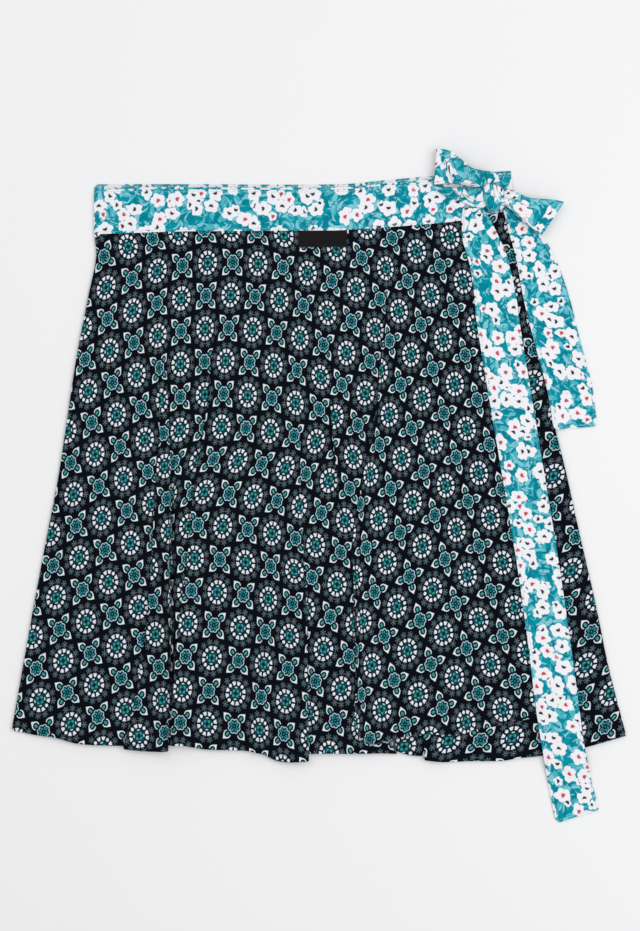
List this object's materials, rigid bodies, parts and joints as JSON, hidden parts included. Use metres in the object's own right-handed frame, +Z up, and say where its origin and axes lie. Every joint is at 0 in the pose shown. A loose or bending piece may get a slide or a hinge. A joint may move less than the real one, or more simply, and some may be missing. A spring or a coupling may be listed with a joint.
{
  "type": "wrap skirt",
  "caption": "Flared knee-length wrap skirt laid flat with its waistband tied in a side bow; upper lap in radial folds, long and short tie ends.",
  "frame": {"origin": "on the surface that the skirt lies on, under the middle of its bounding box", "axes": "+Y runs up the skirt from the hem to the waistband, +X to the side where the bow is, +Z up out of the upper lap's face"},
  "size_m": [0.614, 0.6728, 0.0155],
  "materials": {
    "skirt_cloth": "matte woven cloth, near-black ground with a repeat of teal and white rosettes and flowers",
    "band_cloth": "matte woven cloth, teal ground with loose white flowers",
    "label_cloth": "plain black woven ribbon"
  },
  "bodies": {
    "root": {"back_panel": "skirt_cloth", "under_lap": "skirt_cloth", "over_lap": "skirt_cloth", "band_back": "band_cloth", "band_under": "band_cloth", "band_over": "band_cloth", "band_gather": "band_cloth", "knot": "band_cloth", "loop_left": "band_cloth", "loop_right": "band_cloth", "tie_long": "band_cloth", "tie_short": "band_cloth", "label": "label_cloth"}
  },
  "joints": []
}
